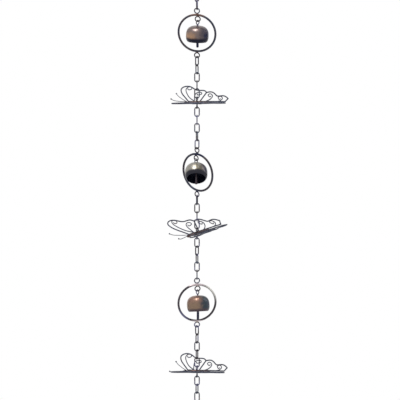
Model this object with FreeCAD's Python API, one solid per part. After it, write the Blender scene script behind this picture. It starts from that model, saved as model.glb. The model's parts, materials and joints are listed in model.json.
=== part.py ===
import FreeCAD, Part
import math
import os

# Rain chain of wire links, hoops that each hold a bell, and wire butterflies.
# It hangs along -Z from a plain ring. The origin is where that ring bears on its hook.
# X runs to the right, Y away from the viewer. Lengths are in millimetres, angles in degrees.

V = FreeCAD.Vector

# Air between two wires that hang in each other, and the film of braze between fixed pieces
play = 0.3
braze_gap = 0.1

# Hanging ring
ring_diameter = 34.0
ring_wire = 4.0

# Chain links, round wire bent to a long oval
link_length = 26.1
link_width = 13.6
link_wire = 2.8

# Hoops, each with small rings brazed outside its top, inside its top and outside its bottom
hoop_diameter = 95.6
hoop_wire = 5.1
loop_diameter = 15.0
loop_wire = 2.8

# Where the top, inside and bottom loops of each hoop stand, turned from upright about its middle
loop_swings = ((0.0, 3.0, 0.0), (-3.0, -9.0, -3.0), (0.0, 2.0, 0.0))

# Bells
bell_diameter = 54.4
bell_height = 39.0
bell_wall = 0.7
bell_widest = 15.0
bell_tuck = 4.2
bell_shoulder = 2.7
crown_rise = 2.0

# Eyes that carry the bells and their clappers
eye_width = 12.5
eye_lengths = (12.5, 17.6, 12.5)
eye_wire = 2.4
inner_eye_diameter = 9.5
clapper_ring_diameter = 9.0
clapper_ring_wire = 2.2
clapper_diameter = 6.0

# Air under each clapper, down to the height of the hoop's inside
clapper_clearance = (7.3, 18.5, 1.3)

# Butterflies: the body runs along X with its head at -X
body_radius = 4.0
head_radius = 3.6
neck_radius = 2.0
head_front = 31.5
tail_end = 38.0
tail_radius = 1.2
wing_dihedrals = (16.5, 20.0, 18.0)
wing_wire = 3.0
scroll_wire = 2.5
butterfly_eye_diameter = 11.4
butterfly_eye_wire = 2.6
butterfly_eye_stand = 0.4
antenna_wire = 1.6
antenna_knob = 3.6
antenna_spreads = (46.5, 27.0, 46.5)
antenna_lifts = ((0.0, 11.0), (0.0, 0.0), (0.0, 0.0))
antenna_root = 25.0
antenna_path = ((0.0, 0.0), (-14.0, 0.5), (-29.3, 2.4), (-39.9, 4.8), (-46.6, 8.4))

# Facets: flat sides of a section, and straight runs along a bend or round a ring
wire_sides = 6
thin_sides = 4
ring_facets = 8
hanger_facets = 12
hoop_facets = 24
bell_sides = 14
body_sides = 6
shoulder_bands = 4
forewing_facets = 12
hindwing_facets = 7
notch_facets = 2
scroll_facets = 7
antenna_facets = 4

# Wing outline and scrolls in the wing's own plane: first along the body to the tail, then outward
wing_root = 5.0
forewing = ((-21.8, wing_root), (-34.5, 23.6), (-47.6, 47.4), (-47.5, 61.5), (-37.4, 68.1),
            (-24.3, 63.8), (-10.8, 52.6), (-1.6, 51.3), (8.9, 50.3), (15.6, 42.8))
cusp_rib = ((15.6, 42.8), (6.2, wing_root))
hindwing = ((15.6, 42.8), (25.7, 45.3), (39.4, 33.9), (45.4, 28.1), (58.3, 29.3),
            (65.6, 25.8), (73.1, 17.4))
notch = ((73.1, 17.4), (69.8, 9.4), (68.5, wing_root))
inner_margin = ((68.5, wing_root), (-21.8, wing_root))
fore_outer_scroll = ((-5.4, wing_root), (-21.8, 20.6), (-34.0, 43.5), (-36.7, 58.0), (-32.0, 65.6),
                     (-24.4, 62.4), (-25.2, 55.0), (-31.0, 53.8))
fore_inner_scroll = ((-7.4, wing_root), (-10.2, 22.0), (-9.4, 38.3), (-4.1, 43.7), (2.0, 42.8),
                     (4.6, 36.6), (-0.9, 32.8), (-5.4, 32.2))
hind_inner_scroll = ((18.4, wing_root), (25.9, 10.2), (32.7, 28.5), (29.6, 34.5), (24.7, 37.1),
                     (21.5, 32.5), (23.8, 27.5), (27.7, 24.6))
hind_outer_scroll = ((38.4, wing_root), (54.0, 7.9), (59.0, 17.0), (57.7, 21.6), (53.2, 26.6),
                     (48.0, 23.4), (49.8, 17.5), (52.1, 13.8))

# Turn of each piece about the chain, from the top down, with 0 square to the viewer
ring_turn = 90.0
top_links = (40.0, 100.0)
hoop_turns = (-13.0, -40.0, 10.0)
links_to_butterfly = ((52.0, 118.0, 180.0, 90.0, 0.0),
                      (78.0, 3.0, 90.0, 0.0),
                      (-52.0, -116.0, 4.0, 70.0, -5.0))
links_to_hoop = ((0.0, 90.0, 0.0, -73.0, -147.0),
                 (-12.0, 52.0, 112.0, 176.0, 90.0))
tail_links = (0.0, 65.0, -5.0)
butterfly_turns = (-12.0, 32.0, -13.0)
butterfly_pitches = (3.4, 7.0, 2.5)
butterfly_rolls = (2.3, 2.0, 3.2)
butterfly_shifts = (0.0, 2.5, -2.0)
upper_eye_turns = (65.0, 65.0, 65.0)
lower_eye_turns = (80.0, 80.0, 80.0)

# Bells lean about a level line turned like this; a negative lean brings the mouth to the viewer
bell_turns = (-13.0, 0.0, 10.0)
bell_eye_turns = (50.0, 50.0, -52.0)
bell_leans = (-8.0, -52.0, -17.0)
bell_plays = (play, 2.0, play)
clapper_leans = (0.0, -20.0, 0.0)


def corner_radius(diameter, sides):
    """Corner radius of a many-sided section with the area of a round one."""
    turn = 2 * math.pi / sides
    return diameter / 2 * math.sqrt(turn / math.sin(turn))


def closed_solid(faces):
    shell = Part.makeShell(faces)
    shell.sewShape()
    solid = Part.makeSolid(shell)
    if solid.Volume < 0:
        solid.reverse()
    return solid


def flat_face(points):
    return Part.Face(Part.makePolygon(list(points) + [points[0]]))


def side_faces(sections):
    """Flat faces between sections that follow each other, each a list of corners."""
    faces = []
    for low, high in zip(sections, sections[1:]):
        count = len(low)
        for k in range(count):
            near, far = k, (k + 1) % count
            faces.append(flat_face([low[near], low[far], high[far], high[near]]))
    return faces


def bent_wire(path, diameter, sides, closed=True):
    """A wire along straight lengths in the XZ plane, mitred where they meet."""
    normal = V(0, 1, 0)
    count = len(path)
    lengths = count if closed else count - 1
    runs = [(path[(i + 1) % count] - path[i]).normalize() for i in range(lengths)]
    corners = corner_radius(diameter, sides)
    sections = []
    for i, point in enumerate(path):
        before = runs[i - 1] if closed or i > 0 else runs[0]
        after = runs[i] if i < lengths else runs[-1]
        across = normal.cross(before) + normal.cross(after)
        mitre = across * (2 / across.dot(across))
        section = []
        for k in range(sides):
            angle = 2 * math.pi * (k + 0.5) / sides
            section.append(point + mitre * (corners * math.cos(angle))
                           + normal * (corners * math.sin(angle)))
        sections.append(section)
    if closed:
        return closed_solid(side_faces(sections + sections[:1]))
    ends = [flat_face(sections[0]), flat_face(sections[-1])]
    return closed_solid(side_faces(sections) + ends)


def oval(length, width, wire, facets):
    """A closed wire in the XZ plane round the origin: two half rings and straight legs between."""
    step = 2 * math.pi / facets
    radius = (width - wire) / 2 / math.cos(step / 2)
    half_leg = (length - width) / 2
    path = []
    for start, centre in ((0, half_leg), (math.pi, -half_leg)):
        for k in range(facets // 2):
            angle = start + step * (k + 0.5)
            path.append(V(radius * math.cos(angle), 0, centre + radius * math.sin(angle)))
    return bent_wire(path, wire, wire_sides)


def ring(diameter, wire, facets):
    return oval(diameter, diameter, wire, facets)


def link():
    return oval(link_length, link_width, link_wire, ring_facets)


def turned(profile, sides, closed=False):
    """Flat-sided turned piece about Z from (radius, height) points, open ones ending on the axis."""
    grow = corner_radius(2.0, sides)
    rings = []
    for radius, height in profile:
        turn = 2 * math.pi / sides
        angles = [turn * (k + 0.5) for k in range(sides)]
        rings.append([V(radius * grow * math.cos(a), radius * grow * math.sin(a), height)
                      for a in angles])
    if closed:
        return closed_solid(side_faces(rings + rings[:1]))
    faces = side_faces(rings[1:-1])
    for tip, near in ((rings[0], rings[1]), (rings[-1], rings[-2])):
        if abs(tip[0].z - near[0].z) < 1e-6:
            faces.append(flat_face(near))
            continue
        point = V(0, 0, tip[0].z)
        for k in range(sides):
            faces.append(flat_face([near[k], near[(k + 1) % sides], point]))
    return closed_solid(faces)


def smooth_path(points, facets):
    """Points evenly along a smooth curve through the given ones."""
    curve = Part.BSplineCurve()
    curve.interpolate([V(x, 0, z) for x, z in points])
    return curve.discretize(facets + 1)


def bell_side(radius, height, bands):
    """Bell profile from crown to rim: a domed shoulder, then a side that tucks in at the lip."""
    points = []
    for k in range(bands):
        angle = math.pi / 2 * (k + 0.4) / bands
        out = math.sin(angle) ** (2 / bell_shoulder)
        up = math.cos(angle) ** (2 / bell_shoulder)
        points.append((radius * out, bell_widest + (height - bell_widest) * up))
    for share in (1.0, 0.45, 0.0):
        tuck = bell_tuck * (1 - share) ** 3
        points.append((radius - tuck, bell_widest * share))
    return points


def bell():
    """A bell with its crown at the origin and its mouth down, holed for the eye's stem."""
    outside = bell_side(bell_diameter / 2, bell_height, shoulder_bands + 1)
    inside = bell_side(bell_diameter / 2 - bell_wall, bell_height - bell_wall, shoulder_bands)
    hole = eye_wire / 2 + play
    profile = [(hole, bell_height)] + outside + inside[::-1] + [(hole, bell_height - bell_wall)]
    shape = turned(profile, bell_sides, closed=True)
    shape.translate(V(0, 0, -bell_height))
    return shape


def double_eye(wire, upper_size, lower_diameter, between, upper_turn=0.0, lower_turn=90.0):
    """Two eyes on one stem: the upper one's foot and the lower one's head lie between apart."""
    upper_length, upper_width = upper_size
    upper = oval(upper_length, upper_width, wire, ring_facets)
    lower = ring(lower_diameter, wire, ring_facets)
    upper.translate(V(0, 0, upper_length / 2))
    lower.translate(V(0, 0, -between - lower_diameter / 2))
    upper.rotate(V(0, 0, 0), V(0, 0, 1), upper_turn)
    lower.rotate(V(0, 0, 0), V(0, 0, 1), lower_turn)
    stem = turned([(0, wire / 2), (wire / 2 * 0.98, wire / 2),
                   (wire / 2 * 0.98, -between - wire / 2), (0, -between - wire / 2)], wire_sides)
    return upper.fuse([stem, lower]).removeSplitter()


def clapper(reach):
    """A clapper's ring with its rod below it, reaching down from the wire at the origin."""
    head = ring(clapper_ring_diameter, clapper_ring_wire, ring_facets)
    top = (eye_wire / 2 + play) + clapper_ring_wire - clapper_ring_diameter
    head.translate(V(0, 0, top + clapper_ring_diameter / 2))
    head.rotate(V(0, 0, 0), V(0, 0, 1), 90)
    start = top + clapper_ring_wire * 0.6
    radius = clapper_diameter / 2
    rod = turned([(0, start), (radius * 0.6, start), (radius, start - radius * 0.5),
                  (radius, -reach + radius * 0.6), (radius * 0.6, -reach), (0, -reach)], wire_sides)
    return head.fuse(rod).removeSplitter()


def body_profile(extra):
    """Butterfly body from head to tail as (radius, place along the body)."""
    shape = ((0.0, -head_front), (head_radius * 0.7, -head_front * 0.96),
             (head_radius, -head_front * 0.86), (neck_radius, -head_front * 0.7),
             (body_radius, -head_front * 0.3), (body_radius, tail_end * 0.25),
             (neck_radius * 1.3, tail_end * 0.4), (head_radius * 0.8, tail_end * 0.6),
             (tail_radius, tail_end * 0.98), (0.0, tail_end))
    return [(radius + extra if radius else 0.0, place) for radius, place in shape]


def along_body(shape):
    shape.rotate(V(0, 0, 0), V(0, 1, 0), 90)
    return shape


def body_blank(extra):
    return along_body(turned(body_profile(extra), body_sides))


def stem_hole():
    radius = butterfly_eye_wire / 2 + play
    reach = body_radius * 2
    return turned([(0, reach), (radius, reach), (radius, -reach), (0, -reach)], body_sides)


def wing():
    """One soldered wire wing, laid out with X to the tail and Z outward."""
    wires = []
    for run, facets in ((forewing, forewing_facets), (hindwing, hindwing_facets),
                        (notch, notch_facets)):
        wires.append(bent_wire(smooth_path(run, facets), wing_wire, thin_sides, False))
    for run in (cusp_rib, inner_margin):
        wires.append(bent_wire([V(x, 0, z) for x, z in run], wing_wire, thin_sides, False))
    for scroll in (fore_outer_scroll, fore_inner_scroll, hind_inner_scroll, hind_outer_scroll):
        wires.append(bent_wire(smooth_path(scroll, scroll_facets), scroll_wire, thin_sides, False))
    return wires[0].fuse(wires[1:]).removeSplitter()


def left_wing(dihedral):
    shape = wing()
    shape.rotate(V(0, 0, 0), V(1, 0, 0), 90 - dihedral)
    return shape.cut(body_blank(braze_gap))


def right_wing(dihedral):
    return left_wing(dihedral).mirror(V(0, 0, 0), V(0, 1, 0))


def antenna():
    """One antenna in the XZ plane, leaving the head at the origin towards -X, with its knob."""
    path = smooth_path(antenna_path, antenna_facets)
    shaft = bent_wire(path, antenna_wire, thin_sides, closed=False)
    radius = antenna_knob / 2
    knob = turned([(0, radius), (radius * 0.85, radius * 0.45), (radius * 0.85, -radius * 0.45),
                   (0, -radius)], wire_sides)
    knob.translate(path[-1])
    return shaft.fuse(knob)


def antennae(spread, lifts):
    pair = []
    for side, lift in zip((-1, 1), lifts):
        shape = antenna()
        shape.rotate(V(0, 0, 0), V(0, 1, 0), lift)
        shape.rotate(V(0, 0, 0), V(0, 0, 1), side * spread)
        shape.translate(V(-antenna_root, 0, head_radius * 0.8))
        pair.append(shape.cut(body_blank(braze_gap)))
    return Part.makeCompound(pair)


def rotation(turn, lean=0.0, pitch=0.0):
    """Tail-up pitch, then lean about the X axis, then turn about the chain."""
    return (FreeCAD.Rotation(V(0, 0, 1), turn) * FreeCAD.Rotation(V(1, 0, 0), lean)
            * FreeCAD.Rotation(V(0, 1, 0), -pitch))


def place(shape, point, turn=0.0, lean=0.0, pitch=0.0):
    placed = shape.copy()
    placed.Placement = FreeCAD.Placement(point, rotation(turn, lean, pitch)) * shape.Placement
    return placed


def shifted(shape, distance):
    """The same shape moved along X."""
    moved = shape.copy()
    moved.translate(V(distance, 0, 0))
    return moved


class Strand:
    """Hangs one piece from another down the Z axis, keeping every node and every hinge."""

    def __init__(self):
        self.nodes = {}
        self.hinges = []
        self.links = 0
        self.holder = None
        self.seat = 0.0
        self.seat_wire = 0.0
        self.seat_turn = 0.0

    def hang(self, body, wire):
        """Height of the top wire of the next piece, over the wire that carries it."""
        self.hinges.append((body, self.holder, V(0, 0, self.seat), self.seat_turn))
        return self.seat + (self.seat_wire + wire) / 2 + play

    def carry(self, body, height, wire, turn):
        self.holder = body
        self.seat = height
        self.seat_wire = wire
        self.seat_turn = turn

    def add_ring(self):
        centre = -(ring_diameter / 2 - ring_wire)
        shape = ring(ring_diameter, ring_wire, hanger_facets)
        self.nodes["hanging_ring"] = place(shape, V(0, 0, centre), ring_turn)
        self.carry("hanging_ring", centre - (ring_diameter - ring_wire) / 2, ring_wire, ring_turn)

    def add_links(self, turns):
        for turn in turns:
            self.links += 1
            name = f"link_{self.links:02d}"
            top = self.hang(name, link_wire)
            half = (link_length - link_wire) / 2
            self.nodes[name] = place(link(), V(0, 0, top - half), turn)
            self.carry(name, top - 2 * half, link_wire, turn)

    def add_hoop(self, number):
        name = f"hoop_{number}"
        turn = hoop_turns[number - 1]
        loop_middle = (loop_diameter - loop_wire) / 2
        outside = hoop_diameter / 2 + braze_gap + loop_diameter / 2
        inside = hoop_diameter / 2 - hoop_wire - braze_gap - loop_diameter / 2
        loops = []
        for swing, reach in zip(loop_swings[number - 1], (outside, inside, -outside)):
            swung = FreeCAD.Rotation(V(0, 1, 0), swing if reach > 0 else -swing)
            loop = ring(loop_diameter, loop_wire, ring_facets)
            loop.Placement = FreeCAD.Placement(swung.multVec(V(0, 0, reach)), swung)
            loops.append(loop)
        top, inner, bottom = [loop.Placement.Base for loop in loops]
        across = rotation(turn).multVec(V(-top.x, 0, 0))
        height = self.hang(name, loop_wire) - loop_middle - top.z
        centre = V(across.x, across.y, height)
        hoop = ring(hoop_diameter, hoop_wire, hoop_facets)
        self.nodes[name] = place(hoop, centre, turn)
        self.nodes[f"{name}_loops"] = place(Part.makeCompound(loops), centre, turn)
        pivot = centre + rotation(turn).multVec(inner - V(0, 0, loop_middle))
        self.add_bell(number, pivot, height - hoop_diameter / 2 + hoop_wire)
        self.carry(name, height + bottom.z - loop_middle, loop_wire, turn)

    def add_bell(self, number, pivot, floor):
        """The bell with its eye, leaning about the loop that carries it, and its clapper.

        The floor is the height of the hoop's inside, which the clapper stays clear of."""
        name = f"bell_{number}"
        turn = bell_turns[number - 1]
        lean = bell_leans[number - 1]
        length = eye_lengths[number - 1]
        foot = (loop_wire + eye_wire) / 2 + bell_plays[number - 1] + eye_wire / 2 - length
        between = crown_rise + bell_wall + play
        eye = double_eye(eye_wire, (length, eye_width), inner_eye_diameter, between,
                         bell_eye_turns[number - 1] - turn, 0.0)
        eye.translate(V(0, 0, foot))
        shell = bell()
        shell.translate(V(0, 0, foot - crown_rise))
        self.nodes[name] = place(shell, pivot, turn, lean)
        self.nodes[f"{name}_eye"] = place(eye, pivot, turn, lean)
        self.hinges.append((name, f"hoop_{number}", pivot, turn))
        seat = V(0, 0, foot - between - inner_eye_diameter + eye_wire / 2)
        seat = pivot + rotation(turn, lean).multVec(seat)
        strike = clapper(seat.z - floor - clapper_clearance[number - 1])
        self.nodes[f"clapper_{number}"] = place(strike, seat, turn, clapper_leans[number - 1])
        self.hinges.append((f"clapper_{number}", name, seat, turn))

    def add_butterfly(self, number):
        name = f"butterfly_{number}"
        turn = butterfly_turns[number - 1]
        roll = butterfly_rolls[number - 1]
        pitch = butterfly_pitches[number - 1]
        dihedral = wing_dihedrals[number - 1]
        feelers = antennae(antenna_spreads[number - 1], antenna_lifts[number - 1])
        between = 2 * (body_radius + butterfly_eye_stand)
        reach = between / 2 + butterfly_eye_diameter - butterfly_eye_wire / 2
        middle = V(0, 0, self.hang(name, butterfly_eye_wire) - reach)
        eyes = double_eye(butterfly_eye_wire, (butterfly_eye_diameter, butterfly_eye_diameter),
                          butterfly_eye_diameter, between,
                          upper_eye_turns[number - 1], lower_eye_turns[number - 1])
        eyes.translate(V(0, 0, between / 2))
        for part, shape in (("body", body_blank(0.0)), ("left_wing", left_wing(dihedral)),
                            ("right_wing", right_wing(dihedral)), ("antennae", feelers)):
            shape = shifted(shape, butterfly_shifts[number - 1])
            self.nodes[f"{name}_{part}"] = place(shape, middle, turn, roll, pitch)
        body = self.nodes[f"{name}_body"].cut(place(stem_hole(), middle, turn))
        self.nodes[f"{name}_body"] = body
        self.nodes[f"{name}_eyes"] = place(eyes, middle)
        self.carry(name, middle.z - reach, butterfly_eye_wire, lower_eye_turns[number - 1])


def build():
    strand = Strand()
    strand.add_ring()
    strand.add_links(top_links)
    for number in (1, 2, 3):
        strand.add_hoop(number)
        strand.add_links(links_to_butterfly[number - 1])
        strand.add_butterfly(number)
        if number < 3:
            strand.add_links(links_to_hoop[number - 1])
    strand.add_links(tail_links)
    return strand


strand = build()
os.makedirs("parts", exist_ok=True)
for name, shape in strand.nodes.items():
    shape.exportStep(f"parts/{name}.step")
print(len(strand.nodes), "nodes")
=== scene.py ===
import json
import math

import bpy
import numpy as np
from mathutils import Matrix, Vector

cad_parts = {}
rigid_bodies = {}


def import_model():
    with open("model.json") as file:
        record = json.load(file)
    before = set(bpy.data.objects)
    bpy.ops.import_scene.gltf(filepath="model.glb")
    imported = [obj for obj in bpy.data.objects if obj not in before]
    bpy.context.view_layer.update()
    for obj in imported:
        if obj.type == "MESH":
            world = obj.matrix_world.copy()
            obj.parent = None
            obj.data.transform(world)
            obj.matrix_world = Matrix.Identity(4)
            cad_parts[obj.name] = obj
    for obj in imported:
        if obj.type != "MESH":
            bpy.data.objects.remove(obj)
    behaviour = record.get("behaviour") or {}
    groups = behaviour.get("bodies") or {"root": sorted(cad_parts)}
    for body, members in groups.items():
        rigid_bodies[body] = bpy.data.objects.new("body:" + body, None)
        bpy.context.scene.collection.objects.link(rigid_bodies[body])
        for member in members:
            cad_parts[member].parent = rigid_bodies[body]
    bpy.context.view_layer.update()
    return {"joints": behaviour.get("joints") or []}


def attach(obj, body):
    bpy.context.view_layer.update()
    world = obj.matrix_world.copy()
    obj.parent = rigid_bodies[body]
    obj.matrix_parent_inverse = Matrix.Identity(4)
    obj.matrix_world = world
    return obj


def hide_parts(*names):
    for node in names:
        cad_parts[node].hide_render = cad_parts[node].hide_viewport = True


# Rain chain: lengths in millimetres until a piece is built, angles in degrees.

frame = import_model()

# Air between wires that hang in each other, and the film of braze between fixed pieces
play = 0.3
braze_gap = 0.1

# Hanging ring, links, hoops and their small loops
ring_diameter = 34.0
ring_wire = 4.0
ring_relief = 0.15
link_length = 26.1
link_width = 13.6
link_wire = 2.8
hoop_diameter = 95.6
hoop_wire = 5.1
loop_diameter = 15.0
loop_wire = 2.8
loop_swings = ((0.0, 3.0, 0.0), (-3.0, -9.0, -3.0), (0.0, 2.0, 0.0))

# Half sizes of the lumps of weld and braze, the middle one across the piece's plane
ring_weld = (2.2, 2.25, 2.6)
link_weld = (1.62, 1.62, 1.5)
link_weld_height = 0.4
loop_braze = (3.4, 2.4, 1.7)
crown_braze = (2.5, 2.0, 1.2)
crown_braze_drop = 0.3

# Bells, their eyes and clappers
bell_diameter = 54.4
bell_height = 39.0
bell_wall = 0.7
bell_widest = 15.0
bell_tuck = 4.2
bell_shoulder = 2.7
bell_lip = 0.75
crown_rise = 2.0
eye_width = 12.5
eye_lengths = (12.5, 17.6, 12.5)
eye_wire = 2.4
inner_eye_diameter = 9.5
clapper_ring_diameter = 9.0
clapper_ring_wire = 2.2
clapper_diameter = 6.0
clapper_clearance = (7.3, 18.5, 1.3)

# Butterflies
body_radius = 4.0
head_radius = 3.6
neck_radius = 2.0
head_front = 31.5
tail_end = 38.0
tail_radius = 1.2
wing_dihedrals = (16.5, 20.0, 18.0)
wing_wire = 3.0
scroll_wire = 2.5
scroll_thinning = 0.12
wing_root = 5.0
butterfly_eye_diameter = 11.4
butterfly_eye_wire = 2.6
butterfly_eye_stand = 0.4
antenna_wire = 1.6
antenna_knob = 3.6
antenna_spreads = (46.5, 27.0, 46.5)
antenna_lifts = ((0.0, 11.0), (0.0, 0.0), (0.0, 0.0))
antenna_root = 25.0
antenna_path = ((0.0, 0.0), (-14.0, 0.5), (-29.3, 2.4), (-39.9, 4.8), (-46.6, 8.4))

# Wing outline and scrolls: first along the body to the tail, then outward
outline_wires = (
    ((-21.8, wing_root), (-34.5, 23.6), (-47.6, 47.4), (-47.5, 61.5), (-37.4, 68.1),
     (-24.3, 63.8), (-10.8, 52.6), (-1.6, 51.3), (8.9, 50.3), (15.6, 42.8)),
    ((15.6, 42.8), (25.7, 45.3), (39.4, 33.9), (45.4, 28.1), (58.3, 29.3),
     (65.6, 25.8), (73.1, 17.4)),
    ((73.1, 17.4), (69.8, 9.4), (68.5, wing_root)),
    ((15.6, 42.8), (6.2, wing_root)),
    ((68.5, wing_root), (-21.8, wing_root)),
)
scroll_wires = (
    ((-5.4, wing_root), (-21.8, 20.6), (-34.0, 43.5), (-36.7, 58.0), (-32.0, 65.6),
     (-24.4, 62.4), (-25.2, 55.0), (-31.0, 53.8), (-33.2, 58.4)),
    ((-7.4, wing_root), (-10.2, 22.0), (-9.4, 38.3), (-4.1, 43.7), (2.0, 42.8),
     (4.6, 36.6), (-0.9, 32.8), (-5.4, 32.2), (-5.9, 36.6)),
    ((18.4, wing_root), (25.9, 10.2), (32.7, 28.5), (29.6, 34.5), (24.7, 37.1),
     (21.5, 32.5), (23.8, 27.5), (27.7, 24.6), (29.2, 27.8)),
    ((38.4, wing_root), (54.0, 7.9), (59.0, 17.0), (57.7, 21.6), (53.2, 26.6),
     (48.0, 23.4), (49.8, 17.5), (52.1, 13.8), (54.8, 16.6)),
)

# Turn of each piece about the chain
ring_turn = 90.0
link_turns = (40, 100,
              52, 118, 180, 90, 0,
              0, 90, 0, -73, -147,
              78, 3, 90, 0,
              -12, 52, 112, 176, 90,
              -52, -116, 4, 70, -5,
              0, 65, -5)
hoop_turns = (-13, -40, 10)
butterfly_turns = (-12, 32, -13)
butterfly_pitches = (3.4, 7.0, 2.5)
butterfly_rolls = (2.3, 2.0, 3.2)
butterfly_shifts = (0.0, 2.5, -2.0)
upper_eye_turns = (65, 65, 65)
lower_eye_turns = (80, 80, 80)
bell_turns = (-13, 0, 10)
bell_eye_turns = (50, 50, -52)
bell_leans = (-8, -52, -17)
bell_plays = (play, 2.0, play)
clapper_leans = (0, -20, 0)

# View
view_elevation = 17.0
view_width = 960.0
view_centre = (7.2, 0.0, -544.0)
view_distance = 40000.0
sensor_width = 36.0
clip_end = 2000.0

millimetre = 0.001


# Shapes

def smooth_path(points, count):
    """Points along a natural cubic spline through the given ones."""
    points = np.array(points, float)
    if len(points) == 2:
        return [tuple(points[0] + (points[1] - points[0]) * t) for t in np.linspace(0, 1, count)]
    knots = np.concatenate(([0], np.cumsum(np.linalg.norm(np.diff(points, axis=0), axis=1))))
    n = len(points)
    steps = np.diff(knots)
    system = np.eye(n)
    slopes = np.zeros((n, points.shape[1]))
    for i in range(1, n - 1):
        system[i, i - 1:i + 2] = steps[i - 1], 2 * (steps[i - 1] + steps[i]), steps[i]
        slopes[i] = 6 * ((points[i + 1] - points[i]) / steps[i]
                         - (points[i] - points[i - 1]) / steps[i - 1])
    bends = np.linalg.solve(system, slopes)
    result = []
    for t in np.linspace(0, knots[-1], count):
        i = min(max(int(np.searchsorted(knots, t)) - 1, 0), n - 2)
        h = steps[i]
        a = (knots[i + 1] - t) / h
        b = 1 - a
        p = (a * points[i] + b * points[i + 1]
             + ((a ** 3 - a) * bends[i] + (b ** 3 - b) * bends[i + 1]) * h * h / 6)
        result.append(tuple(p))
    return result


def full_turn(sides):
    """Angles of evenly spaced points round a circle, in radians."""
    return [2 * math.pi * k / sides for k in range(sides)]


class Shape:
    """Collects wires, turned forms and beads into one mesh."""

    def __init__(self, material):
        self.points = []
        self.faces = []
        self.slots = []
        self.materials = []
        self.use(material)

    def use(self, material):
        """Faces that follow get this material."""
        if material not in self.materials:
            self.materials.append(material)
        self.current = self.materials.index(material)

    def skin(self, rings, closed_run=False, matrix=None):
        """Faces between rings of points, with both ends filled unless the run is closed."""
        matrix = matrix or Matrix.Identity(4)
        start = len(self.points)
        sides = len(rings[0])
        count = len(rings)
        for ring in rings:
            self.points.extend(matrix @ Vector(p) for p in ring)
        for i in range(count if closed_run else count - 1):
            for k in range(sides):
                a = start + i * sides + k
                b = start + i * sides + (k + 1) % sides
                c = start + (i + 1) % count * sides + (k + 1) % sides
                d = start + (i + 1) % count * sides + k
                self.faces.append((a, b, c, d))
        if not closed_run:
            self.faces.append(tuple(start + k for k in reversed(range(sides))))
            self.faces.append(tuple(start + (count - 1) * sides + k for k in range(sides)))
        self.slots.extend([self.current] * (len(self.faces) - len(self.slots)))

    def wire(self, path, diameter, sides=12, closed=False, matrix=None, thinning=0.0):
        """Round wire along (x, z) points, its last end thinner by a share, its tips rounded."""
        path = [Vector((x, 0, z)) for x, z in path]
        count = len(path)
        stations = []
        for i, point in enumerate(path):
            after = path[(i + 1) % count] if closed or i < count - 1 else point
            before = path[i - 1] if closed or i > 0 else point
            radius = diameter / 2 * (1 - thinning * i / (count - 1))
            stations.append((point, (after - before).normalized(), radius))
        if not closed:
            first = stations[0]
            last = stations[-1]
            for angle in (30, 60, 80):
                out = math.sin(math.radians(angle))
                thin = math.cos(math.radians(angle))
                stations.insert(0, (first[0] - first[1] * first[2] * out, first[1],
                                    first[2] * thin))
                stations.append((last[0] + last[1] * last[2] * out, last[1], last[2] * thin))
        normal = Vector((0, 1, 0))
        rings = []
        for point, run, radius in stations:
            across = normal.cross(run).normalized()
            rings.append([point + across * (radius * math.cos(a)) + normal * (radius * math.sin(a))
                          for a in full_turn(sides)])
        self.skin(rings, closed_run=closed, matrix=matrix)

    def turned(self, profile, sides, closed_run=False, matrix=None):
        """Turned form about Z from (radius, height) points."""
        smallest = 0.01
        rings = []
        for r, z in profile:
            r = max(r, smallest)
            rings.append([(r * math.cos(a), r * math.sin(a), z) for a in full_turn(sides)])
        self.skin(rings, closed_run=closed_run, matrix=matrix)

    def bead(self, centre, radii, sides=16, matrix=None):
        """An egg-shaped lump of weld or braze."""
        matrix = matrix or Matrix.Identity(4)
        local = matrix @ Matrix.Translation(centre) @ Matrix.Diagonal((*radii, 1))
        arc = [math.radians(-88 + 176 * k / 8) for k in range(9)]
        self.turned([(math.cos(a), math.sin(a)) for a in arc], sides, matrix=local)

    def build(self, name, matrix):
        """The mesh as an object, with each point's place in the piece's own axes kept on it."""
        mesh = bpy.data.meshes.new(name)
        mesh.from_pydata([matrix @ p * millimetre for p in self.points], [], self.faces)
        spot = mesh.attributes.new("spot", "FLOAT_VECTOR", "POINT")
        spot.data.foreach_set("vector", [v * millimetre for p in self.points for v in p])
        for material in self.materials:
            mesh.materials.append(material)
        mesh.polygons.foreach_set("material_index", self.slots)
        mesh.polygons.foreach_set("use_smooth", [True] * len(self.faces))
        mesh.update()
        mesh.validate()
        obj = bpy.data.objects.new(name, mesh)
        bpy.context.scene.collection.objects.link(obj)
        bpy.context.view_layer.update()
        return obj


def circle(diameter, centre=0.0, count=48):
    """Ring on a wire's middle line as (x, z) points, its middle height given."""
    return [(diameter / 2 * math.cos(a), centre + diameter / 2 * math.sin(a))
            for a in full_turn(count)]


def oval(length, width):
    """Two half rings and straight legs on a wire's middle line, as (x, z) points."""
    points = []
    for start, centre in ((0, (length - width) / 2), (math.pi, (width - length) / 2)):
        for k in range(25):
            angle = start + math.pi * k / 24
            points.append((width / 2 * math.cos(angle), centre + width / 2 * math.sin(angle)))
    return points


def pose(point, turn=0.0, lean=0.0, pitch=0.0):
    """Tail-up pitch, then lean about X, then turn about the chain, then move."""
    return (Matrix.Translation(point) @ Matrix.Rotation(math.radians(turn), 4, "Z")
            @ Matrix.Rotation(math.radians(lean), 4, "X")
            @ Matrix.Rotation(math.radians(-pitch), 4, "Y"))


def finish_piece(obj, body, node):
    """Ties a piece to its body and hides the solid that it takes the place of."""
    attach(obj, body)
    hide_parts(node)


# Shader graph

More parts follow.
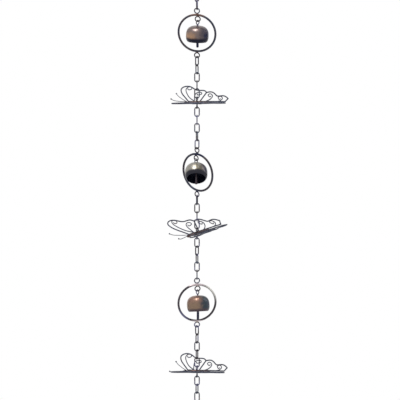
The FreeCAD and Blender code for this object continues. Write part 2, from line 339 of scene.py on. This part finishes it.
class Value:
    """A shader socket that takes part in sums."""

    def __init__(self, graph, socket):
        self.graph = graph
        self.socket = socket

    def math(self, kind, first, second):
        return self.graph.node("ShaderNodeMath", {"operation": kind}, {0: first, 1: second})

    def __add__(self, other):
        return self.math("ADD", self, other)

    def __sub__(self, other):
        return self.math("SUBTRACT", self, other)

    def __rsub__(self, other):
        return self.math("SUBTRACT", other, self)

    def __mul__(self, other):
        return self.math("MULTIPLY", self, other)

    __radd__ = __add__
    __rmul__ = __mul__

    def or_more(self, other):
        """The larger of the two."""
        return self.math("MAXIMUM", self, other)

    def between(self, low, high):
        """0 at low and under, 1 at high and over, smooth between."""
        return self.graph.node("ShaderNodeMapRange", {"interpolation_type": "SMOOTHSTEP"},
                               {0: self, 1: low, 2: high, 3: 0.0, 4: 1.0})

    def blend(self, low, high):
        """Colour low where this is 0 and high where it is 1."""
        return self.graph.node("ShaderNodeMix", {"data_type": "RGBA"}, {0: self, 6: low, 7: high}, 2)


class Graph:
    """Adds nodes to one node tree."""

    def __init__(self, tree):
        self.tree = tree
        tree.nodes.clear()

    def node(self, kind, settings=None, inputs=None, output=0):
        """New node of a type, with its settings first and then its sockets' values or links."""
        made = self.tree.nodes.new(kind)
        for key, value in (settings or {}).items():
            setattr(made, key, value)
        for key, value in (inputs or {}).items():
            if isinstance(value, Value):
                self.tree.links.new(value.socket, made.inputs[key])
            elif isinstance(value, tuple) and made.inputs[key].type == "RGBA":
                made.inputs[key].default_value = (*value[:3], 1.0)
            else:
                made.inputs[key].default_value = value
        return Value(self, made.outputs[output]) if len(made.outputs) else None

    def parts(self, vector):
        """The three numbers of a vector."""
        split = self.node("ShaderNodeSeparateXYZ", None, {0: vector})
        return [Value(self, socket) for socket in split.socket.node.outputs]

    def noise(self, vector, size, detail=3.0, rough=0.55, seed=0.0):
        """Fractal noise about 0.5 whose features are about the size in millimetres."""
        return self.node("ShaderNodeTexNoise", {"noise_dimensions": "4D"},
                         {"Vector": vector, "W": seed, "Scale": 1000.0 / size, "Detail": detail,
                          "Roughness": rough})


# Metals

def metal(name, tones, rough=0.34, patch=18.0, seed=0.0, bump=0.12, marks=None):
    """Dark heat-tinted metal. Broad patches step through the tones. Marks, where given, are
    painted over them in the piece's own axes, or else the patches run on from piece to piece."""
    tone_step = 0.16
    tone_blend = 0.06
    grain_size = 1.6
    pit_size = 2.6
    pit_depth = 0.0004
    material = bpy.data.materials.new(name)
    material.use_nodes = True
    graph = Graph(material.node_tree)
    where = graph.node("ShaderNodeNewGeometry")
    if marks:
        where = graph.node("ShaderNodeAttribute", {"attribute_name": "spot"}, output=1)
    broad = graph.noise(where, patch, 2.0, 0.5, seed)
    colour = tones[0]
    for i, tone in enumerate(tones[1:]):
        middle = 0.5 + (i + 1 - len(tones) / 2) * tone_step
        colour = broad.between(middle - tone_blend, middle + tone_blend).blend(colour, tone)
    if marks:
        colour = marks(graph, where, colour)
    grain = graph.noise(where, grain_size, 4.0, 0.6, seed + 3).between(0.35, 0.75)
    pits = graph.noise(where, pit_size, 3.0, 0.6, seed + 5)
    normal = graph.node("ShaderNodeBump", None, {"Strength": bump, "Distance": pit_depth,
                                                 "Height": pits})
    shader = graph.node("ShaderNodeBsdfPrincipled", None,
                        {"Base Color": colour, "Metallic": 0.75,
                         "Roughness": rough + (grain - 0.5) * 0.16, "Normal": normal})
    graph.node("ShaderNodeOutputMaterial", None, {0: shader})
    return material


def bell_flames_and_shade(crown, left, right, shaded_edge, lip, shade_band, cold_from=0.06):
    """Flame colours over a bell, with painted light and shade: its crown, a warm left and a cold right
    from a share of the width on, each partly flame colour and partly painted light and shade, a
    painted shaded edge on the right, and a painted shade over the lip as high as the given band in
    millimetres."""

    def paint(graph, where, colour):
        x, y, z = graph.parts(where)
        wobble = graph.noise(where, 13.0, 3.0, 0.6, 9.0) - 0.5
        side = x * (1000.0 / bell_diameter) + wobble * 0.35
        height = z * 1000.0 + wobble * 12.0
        # Warm left and cold right: partly the flame colours and partly painted light and shade.
        colour = side.between(0.08, -0.14).blend(colour, left)
        colour = height.between(-22.0, -9.0).blend(colour, crown)
        colour = side.between(cold_from, cold_from + 0.34).blend(colour, right)
        # Painted shade: the right edge darkened.
        colour = side.between(0.36, 0.46).blend(colour, shaded_edge)
        mottle = graph.noise(where, 5.0, 4.0, 0.65, 17.0).between(0.5, 0.72) * 0.45
        colour = mottle.blend(colour, brown)
        # Painted shade: the lip darkened up to the band's height.
        low = z * 1000.0 + bell_height + wobble * 4.0
        return low.between(shade_band + 3.5, shade_band - 3.5).blend(colour, lip)

    return paint


def brazing_heat_and_highlights(top, foot, upper_right, lower_left):
    """Colours that brazing leaves at a hoop's top and foot, and painted light on two of its arcs, the
    upper right and the lower left.
    """

    def paint(graph, where, colour):
        radius = hoop_diameter / 2
        x, y, z = graph.parts(where)
        wobble = (graph.noise(where, 8.0, 3.0, 0.6, 5.0) - 0.5) * 9.0
        across = x * 1000.0 + wobble
        height = z * 1000.0
        # Painted light: the upper right arc and the lower left arc take the given colours.
        right = across.between(2.0, radius * 0.7) * height.between(-radius * 0.2, radius * 0.6)
        colour = right.blend(colour, upper_right)
        left = across.between(-radius * 0.3, -radius * 0.6) * height.between(-8.0, -radius * 0.6)
        colour = left.blend(colour, lower_left)
        uneven = height + wobble * 0.2
        colour = uneven.between(radius - 5.6, radius - 4.0).blend(colour, top)
        return uneven.between(4.6 - radius, 3.2 - radius).blend(colour, foot)

    return paint


slate = (0.038, 0.044, 0.070)
gunmetal = (0.046, 0.040, 0.050)
lavender = (0.135, 0.135, 0.235)
steel_blue = (0.070, 0.088, 0.130)
teal = (0.030, 0.046, 0.060)
plum = (0.062, 0.044, 0.056)
russet = (0.100, 0.058, 0.050)
umber = (0.052, 0.036, 0.034)
navy = (0.011, 0.014, 0.045)
ink = (0.006, 0.007, 0.020)
coal = (0.022, 0.022, 0.030)
smoke = (0.072, 0.062, 0.074)
copper = (0.150, 0.095, 0.075)
brown = (0.115, 0.078, 0.080)
tan = (0.345, 0.210, 0.130)
olive = (0.150, 0.135, 0.085)
gold = (0.190, 0.155, 0.095)
ochre = (0.225, 0.152, 0.104)
mauve = (0.165, 0.128, 0.122)
terracotta = (0.25, 0.150, 0.115)
silver = (0.27, 0.26, 0.23)
cream = (0.46, 0.38, 0.33)
# Painted highlight colour for hoop 3's upper right arc.
pale_highlight = (0.60, 0.59, 0.56)
pale_pink = (0.52, 0.45, 0.47)

chain_metal = metal("wire", (slate, steel_blue, gunmetal, lavender, slate), rough=0.42,
                    patch=24.0, seed=1.0)
hoop_looks = (
    ((gunmetal, slate, smoke, gunmetal), brazing_heat_and_highlights(russet, slate, slate, smoke)),
    ((slate, gunmetal, slate), brazing_heat_and_highlights(navy, slate, gunmetal, slate)),
    # Hoop 3: a painted pale highlight on the upper right arc and a painted pale lavender sheen on the
    # lower left arc.
    ((slate, gunmetal, smoke, gunmetal), brazing_heat_and_highlights(pale_pink, pale_pink, pale_highlight, lavender)),
)
hoop_metals = [metal(f"hoop_wire_{n}", tones, rough=0.44, patch=44.0, seed=10.0 + n, marks=marks)
               for n, (tones, marks) in enumerate(hoop_looks, 1)]
braze_looks = ((russet, copper), (navy, slate), (pale_pink, cream))
braze_metals = [metal(f"braze_{n}", tones, rough=0.5, patch=4.0, seed=20.0 + n, bump=0.3)
                for n, tones in enumerate(braze_looks, 1)]
wing_metals = [metal(f"wing_wire_{n}", (gunmetal, slate, slate, plum), rough=0.46,
                     patch=30.0, seed=30.0 + n) for n in (1, 2, 3)]
body_metals = [metal(f"butterfly_body_{n}", (plum, umber, russet, plum), rough=0.4, patch=16.0,
                     seed=40.0 + n, bump=0.2) for n in (1, 2, 3)]
# Each bell gets its flame colours plus a painted shaded right edge and a painted shade over the lip.
bell_metals = [
    metal("bell_1_shell", (copper, mauve, brown), patch=9.0, seed=50.0,
          marks=bell_flames_and_shade(mauve, tan, smoke, navy, ink, 11.0)),
    metal("bell_2_shell", (silver, olive, silver), patch=12.0, seed=51.0,
          marks=bell_flames_and_shade(silver, silver, smoke, navy, coal, 10.0)),
    metal("bell_3_shell", (gold, brown, teal), patch=8.0, seed=52.0,
          marks=bell_flames_and_shade(terracotta, ochre, teal, navy, plum, 6.0, cold_from=-0.08)),
]
bell_inside = metal("bell_inside", (navy, slate), rough=0.5, patch=12.0, seed=60.0)
clapper_looks = ((navy, navy), (plum, smoke, plum), (navy, slate))
clapper_metals = [metal(f"clapper_{n}", tones, rough=0.45, patch=12.0, seed=70.0 + n)
                  for n, tones in enumerate(clapper_looks, 1)]


# Places on the chain

seats = {joint["child"]: Vector(joint["pos_m"]) / millimetre for joint in frame["joints"]}
holders = {joint["child"]: joint["parent"] for joint in frame["joints"]}
holder_wires = {"hanging": ring_wire, "link": link_wire, "hoop": loop_wire,
                "butterfly": butterfly_eye_wire}


def hang(body, wire):
    """Middle of a body's top wire, over the wire that carries it."""
    carrying_wire = holder_wires[holders[body].split("_")[0]]
    return seats[body] + Vector((0, 0, (carrying_wire + wire) / 2 + play))


loop_reach = hoop_diameter / 2 + braze_gap + loop_diameter / 2
inner_loop_reach = hoop_diameter / 2 - hoop_wire - braze_gap - loop_diameter / 2


def hoop_middle(number):
    """Middle of a hoop, whose top loop hangs on the chain's line."""
    swing = math.radians(loop_swings[number - 1][0])
    across = Matrix.Rotation(math.radians(hoop_turns[number - 1]), 4, "Z") @ Vector((1, 0, 0))
    drop = (loop_diameter - loop_wire) / 2 + loop_reach * math.cos(swing)
    top = hang(f"hoop_{number}", loop_wire)
    return top - across * (loop_reach * math.sin(swing)) - Vector((0, 0, drop))


def crown_height(number):
    """Height of a bell's crown over its hinge, where the eye's foot stands on it."""
    return (loop_wire + eye_wire) / 2 + bell_plays[number - 1] + eye_wire / 2 - eye_lengths[number - 1]


def butterfly_middle(number):
    """Middle of a butterfly's stem, which hangs on its upper eye."""
    reach = body_radius + butterfly_eye_stand + butterfly_eye_diameter - butterfly_eye_wire / 2
    return hang(f"butterfly_{number}", butterfly_eye_wire) - Vector((0, 0, reach))


def butterfly_place(number):
    """Turn, roll and pitch of a butterfly's body and wings, and their shift along the body."""
    return (pose(butterfly_middle(number), butterfly_turns[number - 1],
                 butterfly_rolls[number - 1], butterfly_pitches[number - 1])
            @ Matrix.Translation((butterfly_shifts[number - 1], 0, 0)))


# Pieces

def hanging_ring():
    """The ring, its wire slim enough to clear the first link at both ends of its swing."""
    shape = Shape(chain_metal)
    middle_line = ring_diameter - ring_wire
    shape.wire(circle(middle_line, count=72), ring_wire - ring_relief, 16, closed=True)
    shape.bead((middle_line / 2, 0, 0), ring_weld)
    centre = Vector((0, 0, -(ring_diameter / 2 - ring_wire)))
    obj = shape.build("hanging_ring_wire", pose(centre, ring_turn))
    finish_piece(obj, "hanging_ring", "hanging_ring")


def link(number, turn):
    """An oval link, with a low weld on one leg."""
    body = f"link_{number:02d}"
    middle = hang(body, link_wire) - Vector((0, 0, (link_length - link_wire) / 2))
    side = 1 if number % 2 else -1
    shape = Shape(chain_metal)
    shape.wire(oval(link_length - link_wire, link_width - link_wire), link_wire, closed=True)
    shape.bead((side * (link_width - link_wire) / 2, 0, link_weld_height), link_weld)
    obj = shape.build(f"{body}_wire", pose(middle, turn))
    finish_piece(obj, body, body)


def hoop(number):
    """The hoop, its three small loops, and the braze between them."""
    body = f"hoop_{number}"
    place = pose(hoop_middle(number), hoop_turns[number - 1])
    shape = Shape(hoop_metals[number - 1])
    shape.wire(circle(hoop_diameter - hoop_wire, count=144), hoop_wire, 18, closed=True)
    obj = shape.build(f"{body}_wire", place)
    finish_piece(obj, body, body)

    loops = Shape(chain_metal)
    braze = Shape(braze_metals[number - 1])
    for swing, height, touch in zip(loop_swings[number - 1],
                                    (loop_reach, inner_loop_reach, -loop_reach), (-1, 1, 1)):
        swung = Matrix.Rotation(math.radians(swing if height > 0 else -swing), 4, "Y")
        loops.wire(circle(loop_diameter - loop_wire, height), loop_wire, 14, closed=True,
                   matrix=swung)
        braze.bead((0, 0, height + touch * (loop_diameter + braze_gap) / 2), loop_braze,
                   matrix=swung)
    obj = loops.build(f"{body}_loop_wires", place)
    finish_piece(obj, body, f"{body}_loops")
    obj = braze.build(f"{body}_braze", place)
    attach(obj, body)


def bell_side(radius, height):
    """Bell profile from crown to rim as (radius, height) points."""
    bands = 26
    skirt_bands = 9
    points = []
    for k in range(bands):
        angle = math.pi / 2 * (k + 0.4) / bands
        out = math.sin(angle) ** (2 / bell_shoulder)
        up = math.cos(angle) ** (2 / bell_shoulder)
        points.append((radius * out, bell_widest + (height - bell_widest) * up))
    for k in range(skirt_bands + 1):
        share = 1 - k / skirt_bands
        points.append((radius - bell_tuck * (1 - share) ** 3, bell_widest * share))
    return points


def bell_shell(number):
    """A thin shell with a rounded lip and a hole for the eye's stem, dark inside."""
    body = f"bell_{number}"
    sides = 96
    hole = eye_wire / 2 + play
    outer = bell_side(bell_diameter / 2, bell_height)
    inner = bell_side(bell_diameter / 2 - bell_wall, bell_height - bell_wall)
    rim = (outer[-1][0] + inner[-1][0]) / 2
    lip = [(rim + bell_wall / 2 * math.cos(a), bell_lip - bell_wall / 2 * math.sin(a))
           for a in (math.pi * k / 6 for k in range(1, 6))]
    outer = [(hole, bell_height)] + outer[:-1] + [(outer[-1][0], bell_lip)] + lip
    inner = [(inner[-1][0], bell_lip)] + inner[:-1][::-1] + [(hole, bell_height - bell_wall)]
    shape = Shape(bell_metals[number - 1])
    shape.turned(outer + inner, sides, closed_run=True,
                 matrix=Matrix.Translation((0, 0, -bell_height)))
    shape.use(bell_inside)
    first_inside = (len(outer) - 3) * sides
    shape.slots[first_inside:] = [shape.current] * (len(shape.slots) - first_inside)
    crown = Matrix.Translation((0, 0, crown_height(number) - crown_rise))
    place = pose(seats[body], bell_turns[number - 1], bell_leans[number - 1])
    obj = shape.build(f"{body}_shell", place @ crown)
    finish_piece(obj, body, body)


def bell_eye(number):
    """The eye over the crown, the smaller one inside, and the stem between them."""
    body = f"bell_{number}"
    turn = bell_turns[number - 1]
    length = eye_lengths[number - 1]
    foot = crown_height(number)
    ceiling = foot - crown_rise - bell_wall - play
    shape = Shape(chain_metal)
    upper = (Matrix.Rotation(math.radians(bell_eye_turns[number - 1] - turn), 4, "Z")
             @ Matrix.Translation((0, 0, foot + length / 2)))
    path = circle(eye_width - eye_wire)
    if length > eye_width:
        path = oval(length - eye_wire, eye_width - eye_wire)
    shape.wire(path, eye_wire, 14, closed=True, matrix=upper)
    lower = circle(inner_eye_diameter - eye_wire, ceiling - inner_eye_diameter / 2, 40)
    shape.wire(lower, eye_wire, 14, closed=True)
    stem = eye_wire / 2
    shape.turned([(0, foot + stem), (stem, foot + stem), (stem, ceiling - stem),
                  (0, ceiling - stem)], 20)
    shape.bead((0, 0, foot - crown_braze_drop), crown_braze)
    obj = shape.build(f"{body}_eye_wire", pose(seats[body], turn, bell_leans[number - 1]))
    finish_piece(obj, body, f"{body}_eye")


def clapper(number):
    """A rod under a small ring, which ends at its own clearance over the hoop's foot."""
    body = f"clapper_{number}"
    floor = hoop_middle(number).z - hoop_diameter / 2 + hoop_wire
    end = clapper_clearance[number - 1] + floor - seats[body].z
    radius = clapper_diameter / 2
    foot = eye_wire / 2 + play + clapper_ring_wire - clapper_ring_diameter
    shape = Shape(clapper_metals[number - 1])
    ring = circle(clapper_ring_diameter - clapper_ring_wire, foot + clapper_ring_diameter / 2, 36)
    shape.wire(ring, clapper_ring_wire, closed=True, matrix=Matrix.Rotation(math.pi / 2, 4, "Z"))
    top = foot + clapper_ring_wire * 0.6
    rounded_top = [(0, top), (radius * 0.6, top), (radius * 0.9, top - radius * 0.15),
                   (radius, top - radius * 0.5)]
    rounded_end = [(radius * math.cos(a), end + radius * 0.6 * (1 - math.sin(a)))
                   for a in (math.pi / 2 * k / 6 for k in range(7))]
    shape.turned(rounded_top + rounded_end, 32)
    place = pose(seats[body], bell_turns[number - 1], clapper_leans[number - 1])
    obj = shape.build(f"{body}_rod", place)
    finish_piece(obj, body, body)


def body_radius_at(x):
    """Radius of a butterfly's body along its length, head at the negative end."""
    stations = ((-head_front, 0.0), (-head_front * 0.96, head_radius * 0.62),
                (-head_front * 0.86, head_radius), (-head_front * 0.7, neck_radius),
                (-head_front * 0.3, body_radius), (tail_end * 0.25, body_radius),
                (tail_end * 0.4, neck_radius * 1.3), (tail_end * 0.6, head_radius * 0.8),
                (tail_end * 0.98, tail_radius), (tail_end, 0.0))
    for (x0, r0), (x1, r1) in zip(stations, stations[1:]):
        if x <= x1:
            share = (x - x0) / (x1 - x0)
            if r0 and r1:
                share = share * share * (3 - 2 * share)
            elif r1:
                share = math.sqrt(max(share, 0.0))
            else:
                share = 1 - math.sqrt(max(1 - share, 0.0))
            return r0 + (r1 - r0) * share
    return 0.0


def butterfly_body(number):
    """The tapered body from head to tail."""
    body = f"butterfly_{number}"
    bands = 90
    length = head_front + tail_end
    stations = [-head_front + length * k / bands for k in range(bands + 1)]
    shape = Shape(body_metals[number - 1])
    shape.turned([(body_radius_at(x), x) for x in stations], 28,
                 matrix=Matrix.Rotation(math.radians(90), 4, "Y"))
    obj = shape.build(f"{body}_shell", butterfly_place(number))
    finish_piece(obj, body, f"{body}_body")


def butterfly_eyes(number):
    """The eyes over and under the body, on one upright stem through it."""
    body = f"butterfly_{number}"
    stand = body_radius + butterfly_eye_stand
    shape = Shape(chain_metal)
    for side, turn in ((1, upper_eye_turns[number - 1]), (-1, lower_eye_turns[number - 1])):
        path = circle(butterfly_eye_diameter - butterfly_eye_wire,
                      side * (stand + butterfly_eye_diameter / 2), 44)
        shape.wire(path, butterfly_eye_wire, 14, closed=True,
                   matrix=Matrix.Rotation(math.radians(turn), 4, "Z"))
    stem = butterfly_eye_wire / 2
    shape.turned([(0, stand), (stem, stand + stem), (stem, -stand - stem), (0, -stand)], 20)
    obj = shape.build(f"{body}_eye_wires", pose(butterfly_middle(number)))
    finish_piece(obj, body, f"{body}_eyes")


def wing(number, side, word):
    """A wing's outline and scrolls, folded up from the body. The right one is the left mirrored."""
    body = f"butterfly_{number}"
    fold = Matrix.Rotation(math.radians(90 - wing_dihedrals[number - 1]), 4, "X")
    if side < 0:
        fold = Matrix.Scale(-1, 4, (0, 1, 0)) @ fold
    shape = Shape(wing_metals[number - 1])
    for run in outline_wires:
        count = 12 * len(run) if len(run) > 2 else 12
        shape.wire(smooth_path(run, count), wing_wire, matrix=fold)
    for run in scroll_wires:
        shape.wire(smooth_path(run, 9 * len(run)), scroll_wire, matrix=fold,
                   thinning=scroll_thinning)
    if side < 0:
        shape.faces = [face[::-1] for face in shape.faces]
    obj = shape.build(f"{body}_{word}_wing_wires", butterfly_place(number))
    finish_piece(obj, body, f"{body}_{word}_wing")


def antennae(number):
    """Two thin wires from the head, each with a knob at its tip."""
    body = f"butterfly_{number}"
    path = smooth_path(antenna_path, 36)
    tip = (path[-1][0], 0, path[-1][1])
    shape = Shape(wing_metals[number - 1])
    for side, lift in zip((-1, 1), antenna_lifts[number - 1]):
        spread = side * antenna_spreads[number - 1]
        out = (Matrix.Translation((-antenna_root, 0, head_radius * 0.8))
               @ Matrix.Rotation(math.radians(spread), 4, "Z")
               @ Matrix.Rotation(math.radians(lift), 4, "Y"))
        shape.wire(path, antenna_wire, 10, matrix=out)
        shape.bead(tip, [antenna_knob / 2] * 3, 12, matrix=out)
    obj = shape.build(f"{body}_antenna_wires", butterfly_place(number))
    finish_piece(obj, body, f"{body}_antennae")


hanging_ring()
for number, turn in enumerate(link_turns, 1):
    link(number, turn)
for number in (1, 2, 3):
    hoop(number)
    bell_shell(number)
    bell_eye(number)
    clapper(number)
    butterfly_body(number)
    butterfly_eyes(number)
    wing(number, 1, "left")
    wing(number, -1, "right")
    antennae(number)


# Light and view

def studio_world():
    """White to the eye and in reflections, and a soft light, mostly from above, on the rest."""
    world = bpy.data.worlds.new("studio")
    bpy.context.scene.world = world
    world.use_nodes = True
    graph = Graph(world.node_tree)
    direction = graph.node("ShaderNodeTexCoord", output=0)
    height = graph.parts(direction)[2]
    soft = height.between(-0.9, 0.9) * 0.5 + 0.35
    camera_ray = graph.node("ShaderNodeLightPath", output=0)
    glossy_ray = graph.node("ShaderNodeLightPath", output=3)
    seen = camera_ray.or_more(glossy_ray)
    strength = seen + (1 - seen) * soft
    shader = graph.node("ShaderNodeBackground", None, {0: (1.0, 1.0, 1.0), 1: strength})
    graph.node("ShaderNodeOutputWorld", None, {0: shader})


def area_light(name, direction, distance, size, power, colour=(1, 1, 1)):
    """Rectangular lamp in metres that faces the chain's middle."""
    data = bpy.data.lights.new(name, "AREA")
    data.shape = "RECTANGLE"
    data.size, data.size_y = size
    data.energy = power
    data.color = colour
    obj = bpy.data.objects.new(name, data)
    bpy.context.scene.collection.objects.link(obj)
    target = Vector(view_centre) * millimetre
    obj.location = target + Vector(direction).normalized() * distance
    obj.rotation_euler = (target - obj.location).to_track_quat("-Z", "Y").to_euler()


def camera():
    """Long lens that looks down at the chain from in front."""
    data = bpy.data.cameras.new("camera")
    data.sensor_width = sensor_width
    data.lens = sensor_width * view_distance / view_width
    data.clip_end = clip_end
    obj = bpy.data.objects.new("camera", data)
    bpy.context.scene.collection.objects.link(obj)
    rise = math.radians(view_elevation)
    away = Vector((0, -math.cos(rise), math.sin(rise))) * view_distance
    obj.location = (Vector(view_centre) + away) * millimetre
    obj.rotation_euler = (math.radians(90) - rise, 0, 0)
    bpy.context.scene.camera = obj


studio_world()
area_light("key", (-0.24, -0.10, 1.0), 3.0, (1.2, 1.2), 70.0, (1.0, 0.96, 0.9))
area_light("rim", (1.0, 0.4, 0.5), 2.6, (0.6, 1.6), 8.0)
camera()
bpy.context.scene.view_settings.view_transform = "Standard"
bpy.context.view_layer.update()
